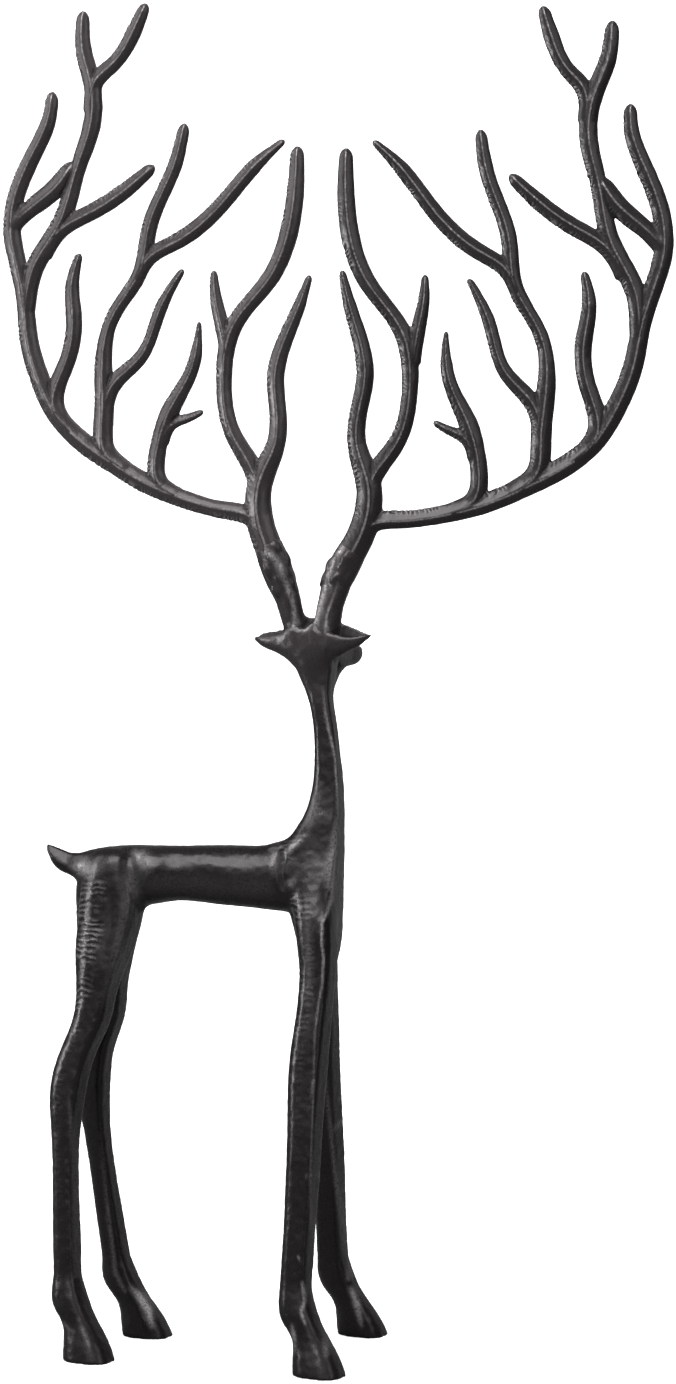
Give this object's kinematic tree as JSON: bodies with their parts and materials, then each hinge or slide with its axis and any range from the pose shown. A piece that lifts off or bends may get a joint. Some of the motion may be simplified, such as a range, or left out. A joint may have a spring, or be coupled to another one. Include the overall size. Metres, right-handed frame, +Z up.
{
  "type": "reindeer figure",
  "caption": "Tall slender standing reindeer, cast in metal and painted black, head turned aside, with two wide branching antlers.",
  "frame": {"origin": "on the floor under the hooves, at the middle of the figure's box", "axes": "+X the way the body faces, +Y the way the head is turned, +Z up"},
  "size_m": [0.3093, 0.109, 0.6057],
  "materials": {
    "body_paint": "satin black paint over grainy sand-cast aluminium, worn and chipped a little on the shanks",
    "antler_paint": "soft-gloss black paint over cast aluminium, with crisp ridges and tool marks along the tines"
  },
  "bodies": {
    "root": {"body": "body_paint", "antler_rear": "antler_paint", "antler_front": "antler_paint"}
  },
  "joints": []
}
